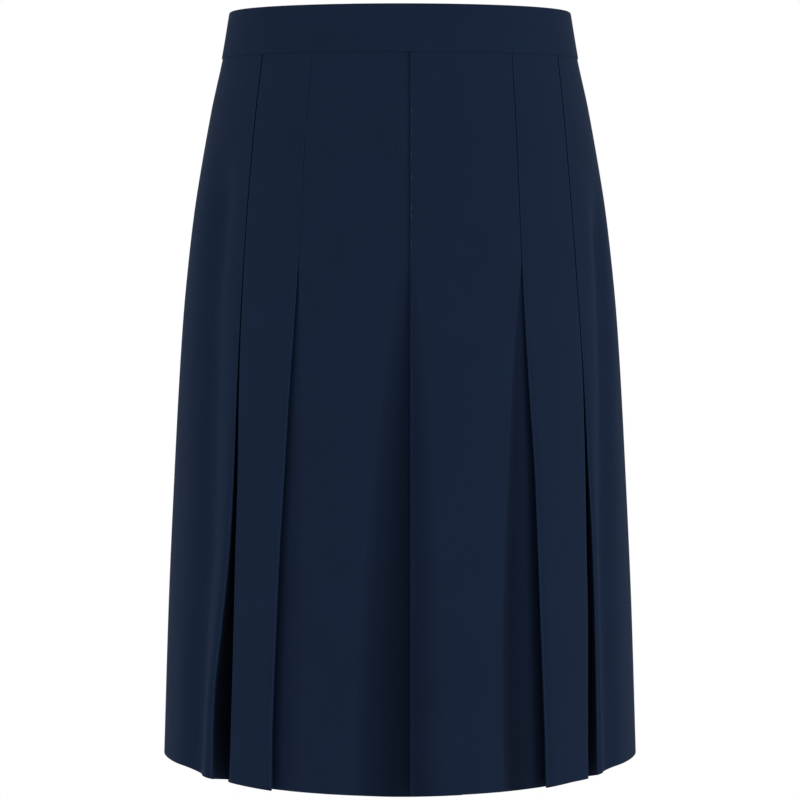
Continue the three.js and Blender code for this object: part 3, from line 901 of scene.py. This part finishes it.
def strand(name, lines, radius, material):
    """Round thread or wire that follows lines of points."""
    data = bpy.data.curves.new(name, "CURVE")
    data.dimensions = "3D"
    data.bevel_depth = radius * MM
    data.bevel_resolution = 1
    data.use_fill_caps = True
    data.materials.append(material)
    for line in lines:
        spline = data.splines.new("POLY")
        spline.points.add(len(line) - 1)
        for point, place in zip(spline.points, line):
            point.co = (*place, 1)
    made = bpy.data.objects.new(name, data)
    bpy.context.scene.collection.objects.link(made)
    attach(made, BODY)
    return made


def coil(name, way):
    """A coil sewn along a tape's edge, on the side towards the wearer."""
    turns = (TAPE_TOP - TAPE_BOTTOM - 2 * COIL_FROM_END) / COIL_PITCH
    start = TAPE_TOP - COIL_FROM_END - (COIL_PITCH / 2 if way < 0 else 0)
    line = []
    for step in range(int(turns * COIL_STEPS)):
        turn = step / COIL_STEPS
        angle = 2 * math.pi * turn
        z = start - turn * COIL_PITCH
        across = COIL_RADIUS * (1 - math.cos(angle)) * COIL_WIDER - COIL_REACH
        rise = COIL_RADIUS * (1 + math.sin(angle)) * COIL_FLATTER
        depth = tape_depth(z) + TAPE_THICK / 2 + COIL_WIRE + rise
        line.append(back_point(z, way * max(across, COIL_MIDDLE), depth))
    strand(name, [line], COIL_WIRE, tape_cloth)


BEVEL_STEPS = 3
BEVEL_FROM_ANGLE = 40  # degrees


def softened(name, body, bevel):
    """The frame's own metal piece with its corners rounded off."""
    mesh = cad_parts[name].data.copy()
    mesh.materials.clear()
    made = add(f"{name}_metal", mesh, enamel, body)
    rounded = made.modifiers.new("bevel", "BEVEL")
    rounded.width = bevel * MM
    rounded.segments = BEVEL_STEPS
    rounded.limit_method = "ANGLE"
    rounded.angle_limit = math.radians(BEVEL_FROM_ANGLE)
    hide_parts(name)


for side, way in (("left", 1), ("right", -1)):
    zip_tape(f"zip_tape_{side}", way)
    coil(f"zip_coil_{side}", way)
softened("zip_slider", BODY, 0.18)
softened("zip_pull", "zip_pull", 0.22)

# Small stitches hold the centre pleat's folded edge down.
STITCH_HEIGHTS = (-69.5, -87, -105.5, -124, -149, -156, -179.5)
STITCH_LONG = 4.0
STITCH_RADIUS = 0.22
STITCH_POINTS = 7
FROM_FOLD = 0.9  # how far the stitches lie from the folded edge
stitches = []
for z in STITCH_HEIGHTS:
    stitch = []
    for share in np.linspace(-1, 1, STITCH_POINTS):
        height = z + share * STITCH_LONG / 2
        place = girth(height).reach(CENTRE_FOLD) + FROM_FOLD
        raised = (1 - share**4) * STITCH_RADIUS
        x, y = girth(height).points([place], [cloth_depth(height) - CLOTH / 2 - raised])[0]
        stitch.append((x * MM, y * MM, height * MM))
    stitches.append(stitch)
strand("centre_stitches", stitches, STITCH_RADIUS, thread)


# Studio: a pale floor, soft boxes at both sides and a white surround

FLOOR_Z = -1050.0
FLOOR_REACH = 12000.0
corners = [(-1, -1), (1, -1), (1, 1), (-1, 1)]
corners = [(x * FLOOR_REACH * MM, y * FLOOR_REACH * MM, FLOOR_Z * MM) for x, y in corners]
floor_mesh = bpy.data.meshes.new("floor")
floor_mesh.from_pydata(corners, [], [(0, 1, 2, 3)])
floor = bpy.data.objects.new("floor", floor_mesh)
bpy.context.scene.collection.objects.link(floor)
paper = Nodes("pale_floor")
paper.shader.inputs["Base Color"].default_value = (0.9, 0.9, 0.9, 1)
paper.shader.inputs["Roughness"].default_value = 0.9
seen = paper.add("ShaderNodeEmission")
pick = paper.add("ShaderNodeMixShader")
paper.link(paper.add("ShaderNodeLightPath").outputs["Is Camera Ray"], pick.inputs["Fac"])
paper.link(paper.shader.outputs[0], pick.inputs[1])
paper.link(seen.outputs[0], pick.inputs[2])
paper.link(pick.outputs[0], paper.tree.nodes["Material Output"].inputs["Surface"])
floor_mesh.materials.append(paper.material)


def soft_box(name, place, aim, size, power):
    """A rectangular soft light: places and sizes in metres, power in watts."""
    data = bpy.data.lights.new(name, "AREA")
    data.shape = "RECTANGLE"
    data.size, data.size_y = size
    data.energy = power
    light = bpy.data.objects.new(name, data)
    light.location = place
    light.rotation_euler = (Vector(aim) - Vector(place)).to_track_quat("-Z", "Y").to_euler()
    bpy.context.scene.collection.objects.link(light)


AIM = (0, 0, -0.3)
BOX_SIZE = (1.2, 2.0)
soft_box("left_light", (1.9, -1.1, 0.1), AIM, BOX_SIZE, 18)
soft_box("right_light", (-2.0, -0.95, 0.1), AIM, BOX_SIZE, 13)

# The surround is a little brighter behind the skirt than in front of it.
SURROUND = 0.7
SURROUND_BEHIND = 0.1
world = bpy.data.worlds.new("studio")
bpy.context.scene.world = world
world.use_nodes = True
sky = world.node_tree
surround = sky.nodes["Background"]
toward = sky.nodes.new("ShaderNodeTexCoord")
parts = sky.nodes.new("ShaderNodeSeparateXYZ")
sky.links.new(toward.outputs["Generated"], parts.inputs[0])
glow = sky.nodes.new("ShaderNodeMath")
glow.operation = "MULTIPLY_ADD"
glow.inputs[1].default_value = SURROUND_BEHIND
glow.inputs[2].default_value = SURROUND
sky.links.new(parts.outputs["Y"], glow.inputs[0])
sky.links.new(glow.outputs[0], surround.inputs["Strength"])
surround.inputs["Color"].default_value = (1, 1, 1, 1)
backdrop = sky.nodes.new("ShaderNodeBackground")
backdrop.inputs["Color"].default_value = (1, 1, 1, 1)
choose = sky.nodes.new("ShaderNodeMixShader")
sky.links.new(sky.nodes.new("ShaderNodeLightPath").outputs["Is Camera Ray"], choose.inputs["Fac"])
sky.links.new(surround.outputs[0], choose.inputs[1])
sky.links.new(backdrop.outputs[0], choose.inputs[2])
sky.links.new(choose.outputs[0], sky.nodes["World Output"].inputs["Surface"])
bpy.context.scene.view_settings.view_transform = "Standard"
